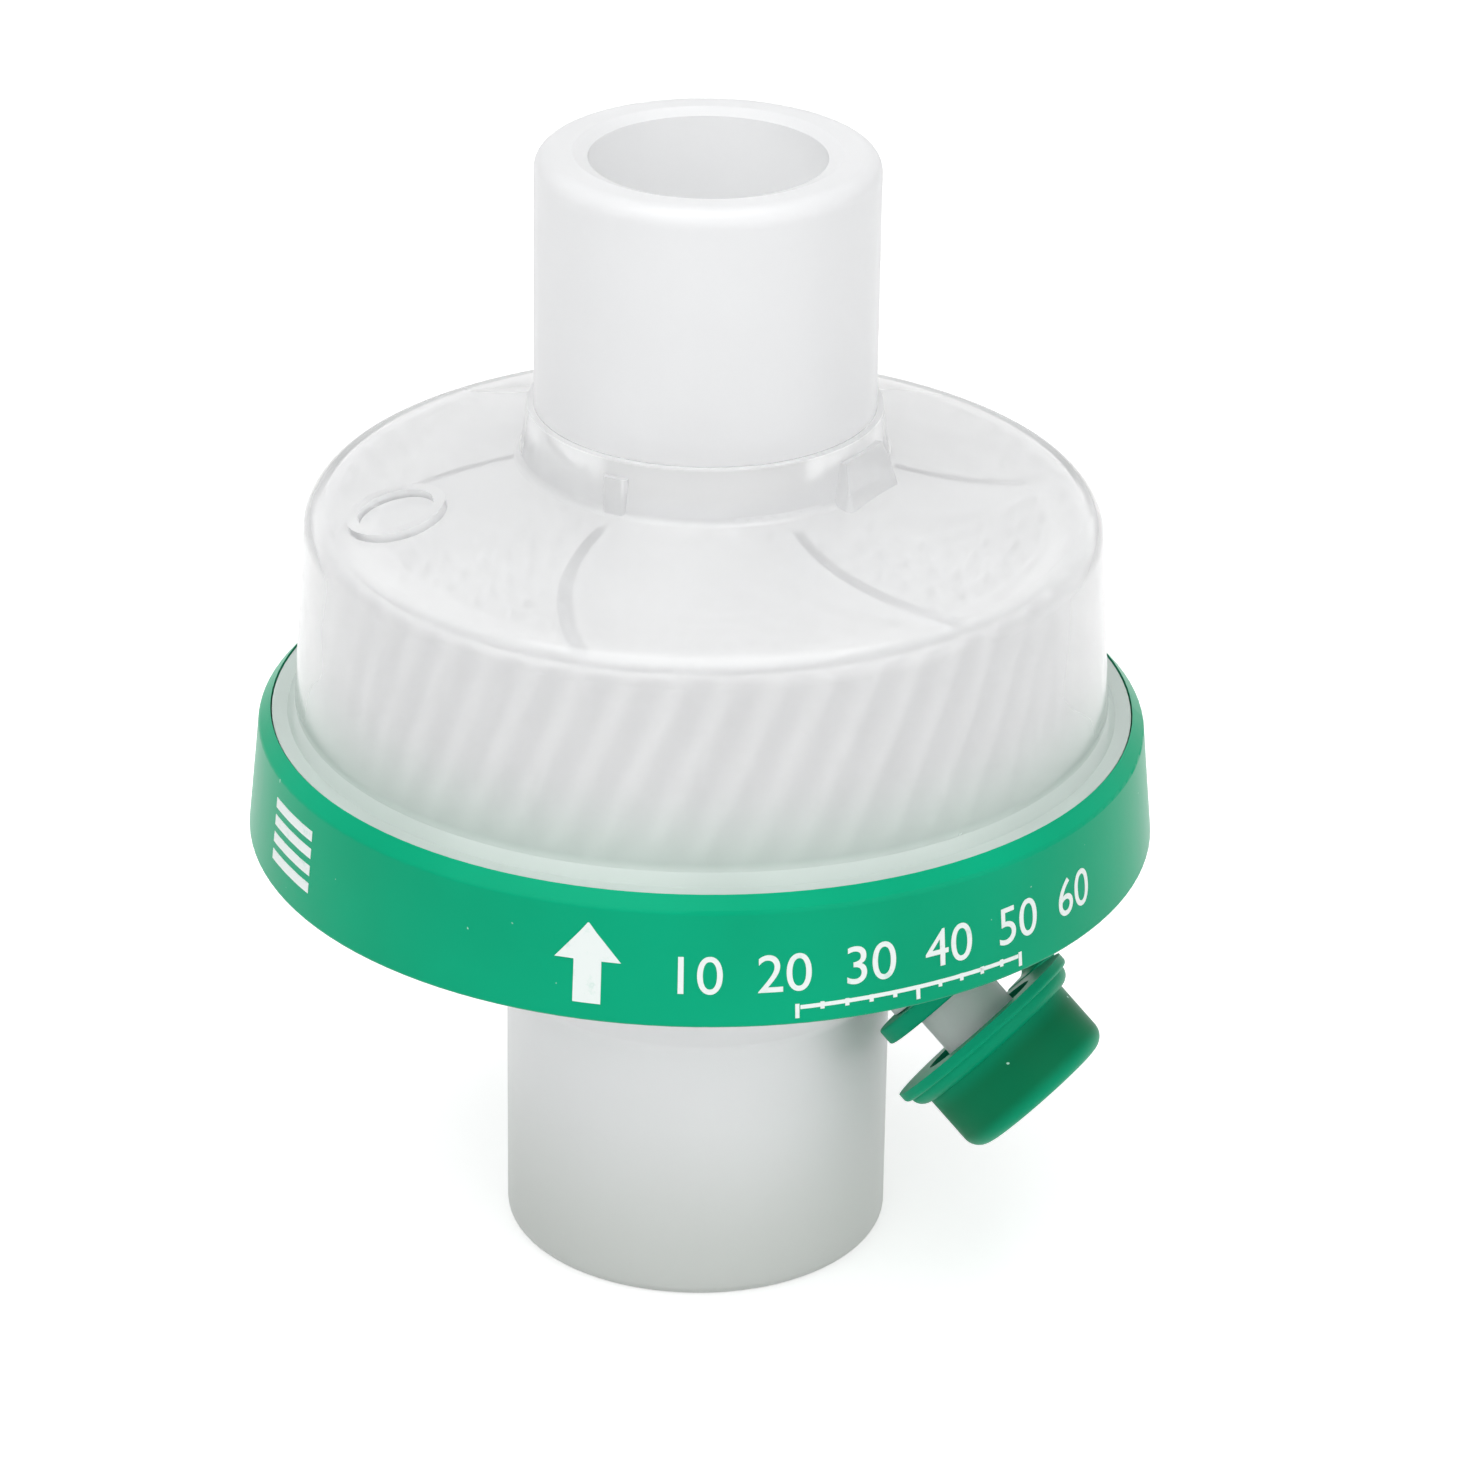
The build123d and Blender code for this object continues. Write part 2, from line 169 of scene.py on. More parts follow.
class Sheet:
    """A node tree that is filled by one method."""

    def __init__(self, tree: bpy.types.NodeTree) -> None:
        """Clears a tree for use.

        Args:
            tree: the tree of a material or a world.
        """
        self.tree = tree
        self.tree.nodes.clear()

    def node(
        self, kind: str, settings: dict[str, object], inputs: dict[object, object],
        output: object = 0,
    ) -> Wire:
        """Adds a node.

        Args:
            kind: Blender's name of the node type.
            settings: the node's own properties, which are set first.
            inputs: value or wire of each input socket, by name or number.
            output: name or number of the output that is wanted.

        Returns:
            The wanted output.
        """
        made = self.tree.nodes.new(kind)
        for key, value in settings.items():
            setattr(made, key, value)
        for key, value in inputs.items():
            if isinstance(value, Wire):
                self.tree.links.new(value.socket, made.inputs[key])
            else:
                made.inputs[key].default_value = value
        return Wire(self, made.outputs[output])

    def white_rays(self) -> Wire:
        """Tells what is seen from what lights the object.

        Returns:
            1 on rays from the camera, a mirror or glass, and 0 on all others.
        """
        paths = self.node("ShaderNodeLightPath", {}, {}, "Is Camera Ray")
        outputs = paths.socket.node.outputs
        glossy = Wire(self, outputs["Is Glossy Ray"])
        through = Wire(self, outputs["Is Transmission Ray"])
        return paths.call("MAXIMUM", glossy).call("MAXIMUM", through)

    def shadow_rays(self) -> Wire:
        """1 on rays that ask how much light gets through, and 0 on all others."""
        return self.node("ShaderNodeLightPath", {}, {}, "Is Shadow Ray")


class Finish(Sheet):
    """The node sheet of one material, on the object's own coordinates."""

    def __init__(self, name: str) -> None:
        """Starts an empty material.

        Args:
            name: the material's name.
        """
        self.material = bpy.data.materials.new(name)
        self.material.use_nodes = True
        super().__init__(self.material.node_tree)
        self.place = self.node("ShaderNodeTexCoord", {}, {}, "Object")

    def split(self) -> tuple[Wire, Wire, Wire]:
        """The object's own X, Y and Z.

        Returns:
            Three wires in metres.
        """
        apart = self.node("ShaderNodeSeparateXYZ", {}, {0: self.place})
        outputs = apart.socket.node.outputs
        return Wire(self, outputs[0]), Wire(self, outputs[1]), Wire(self, outputs[2])

    def noise(self, scale: float, detail: float, roughness: float = 0.5) -> Wire:
        """Fractal noise on the object's own coordinates.

        Args:
            scale: cells in a metre.
            detail: octaves.
            roughness: weight of the finer octaves.

        Returns:
            A wire about 0.5.
        """
        return self.node(
            "ShaderNodeTexNoise",
            {},
            {
                "Vector": self.place, "Scale": scale,
                "Detail": detail, "Roughness": roughness,
            },
            "Fac",
        )

    def tint(self, share: object, first: object, second: object) -> Wire:
        """Mixes two colours.

        Args:
            share: how much of the second colour shows.
            first: a colour or a wire.
            second: a colour or a wire.

        Returns:
            The mixed colour.
        """
        return self.node(
            "ShaderNodeMix",
            {"data_type": "RGBA"},
            {0: share, 6: first, 7: second},
            2,
        )

    def bump(self, height: Wire, distance: float, strength: float) -> Wire:
        """Bump from a height wire.

        Args:
            height: height as a share of the distance.
            distance: full height in metres.
            strength: how strongly it shows.

        Returns:
            The bumped normal.
        """
        return self.node(
            "ShaderNodeBump",
            {},
            {"Height": height, "Distance": distance, "Strength": strength},
        )

    def plastic(self, inputs: dict[object, object]) -> Wire:
        """A Principled shader with the given sockets."""
        return self.node("ShaderNodeBsdfPrincipled", {}, inputs)

    def finish(self, shader: Wire) -> bpy.types.Material:
        """Ends the sheet with its surface.

        Args:
            shader: the surface's shader.

        Returns:
            The material.
        """
        outlet = self.tree.nodes.new("ShaderNodeOutputMaterial")
        self.tree.links.new(shader.socket, outlet.inputs["Surface"])
        return self.material


@dataclass(frozen=True)
class Zone:
    """How a moulding's surface is finished from one height up.

    Attributes:
        above: the height where it starts, in metres.
        spread: the height over which it takes over from the zone below.
        roughness: how dull the surface is.
        milk: the share of cloudy plastic.
        grain: the share of fine grain in the surface.
        colour: the cloudy plastic's colour.
    """

    above: float
    spread: float
    roughness: float
    milk: float
    grain: float
    colour: Colour


@dataclass(frozen=True)
class HousingPlastic:
    """Milky polypropylene, whose haze, gloss and grain change with height; its colour also
    changes with height and carries painted light and shade.
    """

    name: str
    zones: tuple[Zone, ...]
    clear_colour: Colour = (0.985, 0.988, 0.985, 1.0)
    shut: Colour = (0.0, 0.0, 0.0, 1.0)
    ior: float = 1.49
    flow_scale: float = 110.0
    flow_gloss: float = 0.06
    flow_milk: float = 0.1
    flow_height: float = 4.0
    grain_scale: float = 2600.0
    rub_scale: float = 420.0
    rub_start: float = 0.58
    rub_full: float = 0.72
    wear: float = 0.05
    bump_height: float = 0.012 * MM
    bump_strength: float = 0.35

    def build(self) -> bpy.types.Material:
        """Makes the material.

        Returns:
            The material.
        """
        sheet = Finish(self.name)
        _, _, height = sheet.split()
        flow = sheet.noise(self.flow_scale, detail=1.0)
        fine = sheet.noise(self.grain_scale, detail=1.0)
        rub = sheet.noise(self.rub_scale, detail=2.0, roughness=0.7)
        rubbed = rub.ramp(self.rub_start, self.rub_full)
        first = self.zones[0]
        milk, grain, colour = first.milk, first.grain, first.colour
        roughness = first.roughness + rubbed * self.wear
        for zone, below in zip(self.zones[1:], self.zones[:-1]):
            share = height.ramp(zone.above - zone.spread / 2, zone.above + zone.spread / 2)
            roughness = roughness + share * (zone.roughness - below.roughness)
            milk = milk + share * (zone.milk - below.milk)
            grain = grain + share * (zone.grain - below.grain)
            colour = sheet.tint(share, colour, zone.colour)
        roughness = roughness + (flow - NOISE_MEAN) * self.flow_gloss
        relief = flow * self.flow_height + fine * grain
        normal = sheet.bump(relief, self.bump_height, self.bump_strength)
        surface = {"Roughness": roughness, "IOR": self.ior, "Normal": normal}
        clear = sheet.plastic(
            {"Base Color": self.clear_colour, "Transmission Weight": 1.0} | surface
        )
        cloudy = sheet.plastic({"Base Color": colour} | surface)
        cloud = milk + (flow - NOISE_MEAN) * self.flow_milk
        seen = sheet.node("ShaderNodeMixShader", {}, {0: cloud, 1: clear, 2: cloudy})
        through = sheet.node("ShaderNodeBsdfTransparent", {}, {"Color": self.clear_colour})
        stopped = sheet.node("ShaderNodeBsdfTransparent", {}, {"Color": self.shut})
        veil = sheet.node("ShaderNodeMixShader", {}, {0: milk, 1: through, 2: stopped})
        shadow = sheet.shadow_rays()
        return sheet.finish(
            sheet.node("ShaderNodeMixShader", {}, {0: shadow, 1: seen, 2: veil})
        )


@dataclass(frozen=True)
class CapPaintedLight:
    """Where painted light lightens the cap, by distance along its axis: at its brim and its
    roof's round edge, standing in for light that gets into its plastic.
    """

    root: Vector
    out: Vector
    brim_end: float = 6.2 * MM
    wall_start: float = 8.4 * MM
    wall_end: float = 10.2 * MM
    roof_end: float = 11.7 * MM
    # The lighter green of the painted light on the cap's brim and roof edge.
    colour: Colour = (0.0, 0.33, 0.17, 1.0)


@dataclass(frozen=True)
class GreenPlastic:
    """Green moulded plastic with faint flow clouds, fine grain and stray specks of dust."""

    name: str
    colour: Colour = (0.0, 0.39, 0.20, 1.0)
    deep: Colour = (0.0, 0.34, 0.17, 1.0)
    speck: Colour = (0.45, 0.75, 0.62, 1.0)
    roughness: float = 0.3
    gloss: float = 0.08
    cloud_scale: float = 55.0
    cloud_low: float = 0.3
    cloud_high: float = 0.7
    cloud_gloss: float = 0.14
    grain_scale: float = 1100.0
    speck_scale: float = 1500.0
    speck_level: float = 0.8
    speck_edge: float = 0.03
    speck_dullness: float = 0.3
    bump_height: float = 0.012 * MM
    bump_strength: float = 0.3
    # Painted light on a cap's brim and roof edge, where set.
    painted_light: CapPaintedLight | None = None

    def build(self) -> bpy.types.Material:
        """Makes the material.

        Returns:
            The material.
        """
        sheet = Finish(self.name)
        grain = sheet.noise(self.grain_scale, detail=3.0)
        clouds = sheet.noise(self.cloud_scale, detail=3.0)
        specks = sheet.noise(self.speck_scale, detail=1.0)
        dust = specks.ramp(self.speck_level, self.speck_level + self.speck_edge)
        cloudy = clouds.ramp(self.cloud_low, self.cloud_high)
        colour = sheet.tint(cloudy, self.deep, self.colour)
        # Painted light: lighter green at the cap's brim and roof edge.
        if self.painted_light:
            colour = sheet.tint(self._painted_light_share(sheet), colour, self.painted_light.colour)
        colour = sheet.tint(dust, colour, self.speck)
        sheen = (clouds - NOISE_MEAN) * self.cloud_gloss + dust * self.speck_dullness
        return sheet.finish(
            sheet.plastic(
                {
                    "Base Color": colour,
                    "Roughness": self.roughness + sheen,
                    "Normal": sheet.bump(grain, self.bump_height, self.bump_strength),
                    "Specular IOR Level": self.gloss,
                }
            )
        )

    def _painted_light_share(self, sheet: Finish) -> Wire:
        """Finds where the cap's painted light goes, by distance along its axis.

        Args:
            sheet: the sheet of the cap's material.

        Returns:
            1 on the brim and the roof's round edge, and 0 half way along the cap.
        """
        from_root = sheet.node(
            "ShaderNodeVectorMath",
            {"operation": "SUBTRACT"},
            {0: sheet.place, 1: self.painted_light.root},
        )
        along = sheet.node(
            "ShaderNodeVectorMath",
            {"operation": "DOT_PRODUCT"},
            {0: from_root, 1: self.painted_light.out},
            "Value",
        )
        brim = 1 - along.ramp(self.painted_light.brim_end, self.painted_light.wall_start)
        return brim.call("MAXIMUM", along.ramp(self.painted_light.wall_end, self.painted_light.roof_end))


@dataclass(frozen=True)
class WhitePaper:
    """White fibres, dull and crinkled, with painted shade on a roll's outer flutes, darkest
    in their valleys.

    Without a crest_radius the paper is plain.
    """

    name: str
    colour: Colour = (0.95, 0.945, 0.94, 1.0)
    shade: Colour = (0.88, 0.875, 0.87, 1.0)
    # Painted shade on the roll's outer flutes, lighter on the crests and darker in the
    # valleys.
    crest: Colour = (0.84, 0.83, 0.835, 1.0)
    valley: Colour = (0.66, 0.65, 0.66, 1.0)
    roughness: float = 0.88
    gloss: float = 0.2
    fibres: float = 1700.0
    fibre_low: float = 0.35
    fibre_high: float = 0.65
    fibre_height: float = 0.4
    crinkles: float = 450.0
    crinkle_height: float = 0.06 * MM
    bump_strength: float = 0.5
    crest_radius: float = 0.0
    valley_radius: float = 0.0
    side_start: float = 0.2 * MM
    side_full: float = 0.1 * MM

    def build(self) -> bpy.types.Material:
        """Makes the material.

        Returns:
            The material.
        """
        sheet = Finish(self.name)
        fibre = sheet.noise(self.fibres, detail=2.0, roughness=0.7)
        crinkle = sheet.noise(self.crinkles, detail=1.0, roughness=0.6)
        light = fibre.ramp(self.fibre_low, self.fibre_high)
        colour = sheet.tint(light, self.shade, self.colour)
        # Painted shade on the outer flutes, darkest in their valleys.
        if self.crest_radius:
            colour = sheet.tint(self._painted_shade_mask(sheet), colour, self._painted_flute_shade(sheet))
        relief = fibre * self.fibre_height + crinkle
        return sheet.finish(
            sheet.plastic(
                {
                    "Base Color": colour,
                    "Roughness": self.roughness,
                    "Normal": sheet.bump(relief, self.crinkle_height, self.bump_strength),
                    "Specular IOR Level": self.gloss,
                }
            )
        )

    def _radius(self, sheet: Finish) -> Wire:
        """Distance from the roll's axis."""
        east, north, _ = sheet.split()
        return (east * east + north * north).call("SQRT")

    def _painted_shade_mask(self, sheet: Finish) -> Wire:
        """Marks where the painted flute shade goes: the roll's outer side, not its turns.

        Args:
            sheet: the sheet of the roll's material.

        Returns:
            1 on the outer side, and 0 further in than its valleys.
        """
        start = self.valley_radius - self.side_start
        full = self.valley_radius - self.side_full
        return self._radius(sheet).ramp(start, full)

    def _painted_flute_shade(self, sheet: Finish) -> Wire:
        """Painted shade on the outer side, darkest in its valleys and lightest on its
        crests.
        """
        share = self._radius(sheet).ramp(self.valley_radius, self.crest_radius)
        return sheet.tint(share, self.valley, self.crest)


@dataclass(frozen=True)
class PrintInk:
    """White ink, a little worn."""

    name: str
    colour: Colour = (0.82, 0.88, 0.86, 1.0)
    worn: Colour = (0.62, 0.78, 0.72, 1.0)
    patch_scale: float = 900.0
    patch_low: float = 0.55
    patch_high: float = 0.75
    roughness: float = 0.45
    patch_dullness: float = 0.2
    bump_height: float = 0.008 * MM
    bump_strength: float = 0.3

    def build(self) -> bpy.types.Material:
        """Makes the material.

        Returns:
            The material.
        """
        sheet = Finish(self.name)
        patches = sheet.noise(self.patch_scale, detail=4.0, roughness=0.7)
        wear = patches.ramp(self.patch_low, self.patch_high)
        return sheet.finish(
            sheet.plastic(
                {
                    "Base Color": sheet.tint(wear, self.colour, self.worn),
                    "Roughness": self.roughness + patches * self.patch_dullness,
                    "Normal": sheet.bump(patches, self.bump_height, self.bump_strength),
                }
            )
        )


class Clay:
    """A mesh in edit mode, shaped with Blender's own operators."""

    def __init__(self, name: str) -> None:
        """Takes up the piece that was just added.

        Args:
            name: the piece's name.
        """
        self.piece = bpy.context.object
        self.piece.name = name
        self.piece.data.name = name

    def __enter__(self) -> "Clay":
        """Goes into edit mode with nothing selected."""
        bpy.ops.object.mode_set(mode="EDIT")
        bpy.ops.mesh.select_mode(type="VERT")
        bpy.ops.mesh.select_all(action="DESELECT")
        return self

    def __exit__(self, *problem: object) -> None:
        """Goes back to object mode."""
        bpy.ops.object.mode_set(mode="OBJECT")

    def pick(self, wanted: Callable[[Vector], bool]) -> None:
        """Selects the vertices whose place passes a test.

        Args:
            wanted: the test of a vertex's place.
        """
        shape = bmesh.from_edit_mesh(self.piece.data)
        for vertex in shape.verts:
            vertex.select_set(wanted(vertex.co))
        shape.select_flush_mode()
        bmesh.update_edit_mesh(self.piece.data)

    def close(self) -> None:
        """Merges doubles and turns all faces outwards."""
        bpy.ops.mesh.select_all(action="SELECT")
        bpy.ops.mesh.remove_doubles(threshold=MERGE)
        bpy.ops.mesh.normals_make_consistent(inside=False)


def clear_selection() -> None:
    """Deselects every object."""
    bpy.ops.object.select_all(action="DESELECT")


def modify(piece: bpy.types.Object, kind: str, settings: dict[str, object]) -> None:
    """Adds a modifier and applies it.

    Args:
        piece: the mesh object.
        kind: Blender's name of the modifier type.
        settings: the modifier's properties.
    """
    clear_selection()
    piece.select_set(True)
    bpy.context.view_layer.objects.active = piece
    modifier = piece.modifiers.new(kind.lower(), kind)
    for key, value in settings.items():
        setattr(modifier, key, value)
    bpy.ops.object.modifier_apply(modifier=modifier.name)


def settle(piece: bpy.types.Object, smooth_angle: float = 35.0) -> None:
    """Puts a piece's place into its mesh and smooths its round faces.

    Args:
        piece: the mesh object.
        smooth_angle: the sharpest angle that is smoothed, in degrees.
    """
    clear_selection()
    piece.select_set(True)
    bpy.context.view_layer.objects.active = piece
    bpy.ops.object.transform_apply(location=True, rotation=True, scale=True)
    bpy.ops.object.shade_smooth_by_angle(angle=math.radians(smooth_angle))


def join(name: str, parts: list[bpy.types.Object]) -> bpy.types.Object:
    """Joins pieces into one.

    Args:
        name: the joined piece's name.
        parts: the pieces, which all have their place in their meshes.

    Returns:
        The joined piece.
    """
    clear_selection()
    for part in parts:
        part.select_set(True)
    bpy.context.view_layer.objects.active = parts[0]
    bpy.ops.object.join()
    parts[0].name = name
    parts[0].data.name = name
    return parts[0]


def dress(piece: bpy.types.Object, material: bpy.types.Material) -> None:
    """Gives a piece its material.

    Args:
        piece: the piece.
        material: the material that it takes.
    """
    piece.data.materials.clear()
    piece.data.materials.append(material)
    log.info("%s wears %s", piece.name, material.name)


def port_frame() -> Matrix:
    """The luer port's own frame: Z out along its axis, X level, origin on the cone.

    Returns:
        The frame as a matrix.
    """
    mounts = {mount["name"]: mount for mount in frame["record"]["mounts"]}
    port = mounts["sampling_port"]
    out = Vector(port["axis"]).normalized()
    level = Vector((0, 0, 1)).cross(out).normalized()
    root = Vector(port["pos_m"]) - out * PORT_LENGTH
    turn = Matrix((level, out.cross(level), out)).transposed()
    return Matrix.Translation(root) @ turn.to_4x4()


@dataclass
class PaperRoll:
    """The moisture exchanger: corrugated paper, wound on itself."""

    flutes: int = 50
    flute_depth: float = 0.65 * MM
    slant: float = 22.0
    storeys: int = 10
    wrap_wall: float = 0.4 * MM
    recess: float = 0.9 * MM
    turn_pitch: float = 1.9 * MM
    inner_turn: float = 2.0 * MM
    outer_turn: float = 22.0 * MM
    wave_pitch: float = 3.05 * MM
    wave_height: float = 0.72 * MM
    paper: float = 0.16 * MM
    steps_per_flute: int = 8
    points_per_turn: int = 24
    smooth_angle: float = 50.0

    def __post_init__(self) -> None:
        """Takes the roll's place from the CAD node."""
        low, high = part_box("hme_roll")
        self.radius = (high.x - low.x) / 2
        self.bottom = low.z
        self.top = high.z

    def body(self) -> bpy.types.Object:
        """The wound pack with its slanted outer flutes and a recess for the turns' edges.

        Returns:
            The piece.
        """
        clear_selection()
        bpy.ops.mesh.primitive_circle_add(
            vertices=self.flutes * self.steps_per_flute,
            radius=self.radius,
            fill_type="NGON",
            location=(0, 0, self.bottom),
        )
        step = 2 * math.pi / self.flutes
        height = self.top - self.bottom
        twist = height * math.tan(math.radians(self.slant)) / self.radius
        with Clay("paper_roll") as clay:
            for share in range(1, self.steps_per_flute // 2 + 1):
                turn = share / self.steps_per_flute
                depth = self.flute_depth * (1 - math.cos(2 * math.pi * turn)) / 2
                size = 1 - depth / self.radius
                clay.pick(lambda place: self._flute_share(place, step, turn))
                bpy.ops.transform.resize(
                    value=(size, size, 1), center_override=(0, 0, self.bottom)
                )
            bpy.ops.mesh.select_all(action="SELECT")
            for _ in range(self.storeys):
                bpy.ops.mesh.extrude_region_move(
                    TRANSFORM_OT_translate={"value": (0, 0, height / self.storeys)}
                )
                bpy.ops.transform.rotate(
                    value=-twist / self.storeys, orient_axis="Z", center_override=(0, 0, 0)
                )
            bpy.ops.mesh.inset(thickness=self.wrap_wall)
            bpy.ops.mesh.extrude_region_move(
                TRANSFORM_OT_translate={"value": (0, 0, -self.recess)}
            )
            clay.close()
        settle(clay.piece, self.smooth_angle)
        return clay.piece

    def _flute_share(self, place: Vector, step: float, turn: float) -> bool:
        """Tests how far along its flute a vertex of the outline is.

        Args:
            place: the vertex's place.
            step: the angle that a flute takes up.
            turn: the wanted share of a flute from a crest, on either side.

        Returns:
            True where the vertex is that far from a crest.
        """
        share = (math.atan2(place.y, place.x) / step) % 1
        near = NEAR / self.steps_per_flute
        return abs(share - turn) < near or abs(share - (1 - turn)) < near

    def spiral(self, offset: float) -> bpy.types.Object:
        """A flat spiral curve for a sheet to follow.

        Args:
            offset: how much further out than the inner turn it starts.

        Returns:
            The curve object.
        """
        data = bpy.data.curves.new("spiral", "CURVE")
        data.dimensions = "3D"
        data.twist_mode = "Z_UP"
        line = data.splines.new("POLY")
        turns = (self.outer_turn - self.inner_turn) / self.turn_pitch
        count = int(turns * self.points_per_turn)
        line.points.add(count)
        for index, point in enumerate(line.points):
            turn = index / self.points_per_turn
            radius = self.inner_turn + offset + self.turn_pitch * turn
            angle = 2 * math.pi * turn
            point.co = (radius * math.cos(angle), radius * math.sin(angle), 0, 1)
        curve = bpy.data.objects.new("spiral", data)
        bpy.context.scene.collection.objects.link(curve)
        return curve

    def sheet(self, name: str, wave: float, offset: float) -> bpy.types.Object:
        """One wound sheet's upper edge, waved or plain.

        Args:
            name: the piece's name.
            wave: height of its waves, or 0 for the plain liner.
            offset: how much further out than the inner turn it starts.

        Returns:
            The piece.
        """
        curve = self.spiral(offset)
        points = curve.data.splines[0].points
        length = sum((b.co.xyz - a.co.xyz).length for a, b in zip(points[:-1], points[1:]))
        clear_selection()
        bpy.ops.mesh.primitive_grid_add(
            x_subdivisions=self.steps_per_flute,
            y_subdivisions=1,
            size=1,
            rotation=(math.pi / 2, 0, 0),
        )
        piece = bpy.context.object
        piece.scale = (self.wave_pitch, self.recess, 1)
        bpy.ops.object.transform_apply(location=False, rotation=True, scale=True)
        with Clay(name) as clay:
            bpy.ops.mesh.select_all(action="SELECT")
            middle = self.top - self.recess / 2
            bpy.ops.transform.translate(value=(self.wave_pitch / 2, 0, middle))
            column = self.wave_pitch / self.steps_per_flute
            for index in range(1, self.steps_per_flute):
                clay.pick(lambda place: abs(place.x - index * column) < column * NEAR)
                shift = wave * math.sin(2 * math.pi * index / self.steps_per_flute)
                bpy.ops.transform.translate(value=(0, shift, 0))
        count = int(length / self.wave_pitch)
        modify(
            piece,
            "ARRAY",
            {"count": count, "use_merge_vertices": True, "merge_threshold": MERGE},
        )
        modify(piece, "CURVE", {"object": curve, "deform_axis": "POS_X"})
        modify(piece, "SOLIDIFY", {"thickness": self.paper, "offset": 0.0})
        bpy.data.objects.remove(curve)
        settle(piece)
        return piece

    def build(self) -> None:
        """Builds the roll and puts it in the housing."""
        wave = self.sheet("wave", self.wave_height, 0.0)
        liner = self.sheet("liner", 0.0, self.turn_pitch / 2)
        roll = join("paper_roll", [self.body(), wave, liner])
        valley = self.radius - self.flute_depth
        paper = WhitePaper("roll_paper", crest_radius=self.radius, valley_radius=valley)
        dress(roll, paper.build())
        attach(roll, Body.FILTER.value)
        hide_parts("hme_roll")


@dataclass
class Tether:
    """The cap's tether: an anchor ring on the luer port, and a strap to the cap."""

    anchor_radius: float = 5.22 * MM
    anchor_bore: float = 2.87 * MM
    anchor_base: float = 1.45 * MM
    anchor_thickness: float = 1.2 * MM
    strap_width: float = 2.6 * MM
    strap_thickness: float = 0.9 * MM
    brim_radius: float = 7.0 * MM
    brim_base: float = 5.45 * MM
    brim_thickness: float = 0.75 * MM
    bend_start: float = 8.62 * MM
    overlap: float = 0.4 * MM
    return_shares: tuple[float, ...] = (0.6, 0.4)
    edge_round: float = 0.18 * MM
    edge_steps: int = 3
    edge_angle: float = 0.6
    smooth_angle: float = 40.0
    round_steps: int = 96
    bend_steps: int = 20

    def anchor(self) -> bpy.types.Object:
        """The anchor ring, spun from its section.

        Returns:
            The piece, in the port's frame.
        """
        clear_selection()
        wall = self.anchor_radius - self.anchor_bore
        bpy.ops.mesh.primitive_plane_add(size=1, rotation=(math.pi / 2, 0, 0))
        bpy.context.object.scale = (wall, self.anchor_thickness, 1)
        bpy.ops.object.transform_apply(location=False, rotation=True, scale=True)
        with Clay("anchor") as clay:
            bpy.ops.mesh.select_all(action="SELECT")
            middle = self.anchor_base + self.anchor_thickness / 2
            bpy.ops.transform.translate(value=(self.anchor_bore + wall / 2, 0, middle))
            bpy.ops.mesh.delete(type="ONLY_FACE")
            bpy.ops.mesh.select_all(action="SELECT")
            bpy.ops.mesh.spin(
                steps=self.round_steps, angle=2 * math.pi, center=(0, 0, 0), axis=(0, 0, 1)
            )
            clay.close()
        return clay.piece

    def strap(self) -> bpy.types.Object:
        """The strap: out along the anchor, round a bend and back to the brim.

        Returns:
            The piece, in the port's frame.
        """
        clear_selection()
        low = self.anchor_base + self.anchor_thickness / 2
        high = self.brim_base + self.brim_thickness / 2
        start = (self.anchor_bore + self.anchor_radius) / 2
        bpy.ops.mesh.primitive_plane_add(size=1, rotation=(0, math.pi / 2, 0))
        bpy.context.object.scale = (self.strap_thickness, self.strap_width, 1)
        bpy.ops.object.transform_apply(location=False, rotation=True, scale=True)
        with Clay("strap") as clay:
            bpy.ops.mesh.select_all(action="SELECT")
            bpy.ops.transform.translate(value=(start, 0, low))
            for reach in (self.anchor_radius - start, self.bend_start - self.anchor_radius):
                bpy.ops.mesh.extrude_region_move(
                    TRANSFORM_OT_translate={"value": (reach, 0, 0)}
                )
            bpy.ops.mesh.spin(
                steps=self.bend_steps,
                angle=math.pi,
                center=(self.bend_start, 0, (low + high) / 2),
                axis=(0, 1, 0),
            )
            back = self.brim_radius - self.overlap - self.bend_start
            for share in self.return_shares:
                bpy.ops.mesh.extrude_region_move(
                    TRANSFORM_OT_translate={"value": (back * share, 0, 0)}
                )
            clay.close()
        return clay.piece

    def build(self) -> None:
        """Builds the tether, with its strap bent round from the anchor to the cap's brim,
        and sets it on the luer port.
        """
        tether = join("tether", [self.anchor(), self.strap()])
        modify(
            tether,
            "BEVEL",
            {
                "width": self.edge_round, "segments": self.edge_steps,
                "limit_method": "ANGLE", "angle_limit": self.edge_angle,
            },
        )
        port = port_frame()
        tether.matrix_world = port
        settle(tether, self.smooth_angle)
        dress(tether, bpy.data.materials["cap_plastic"])
        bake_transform(tether)
        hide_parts("cap_tether")


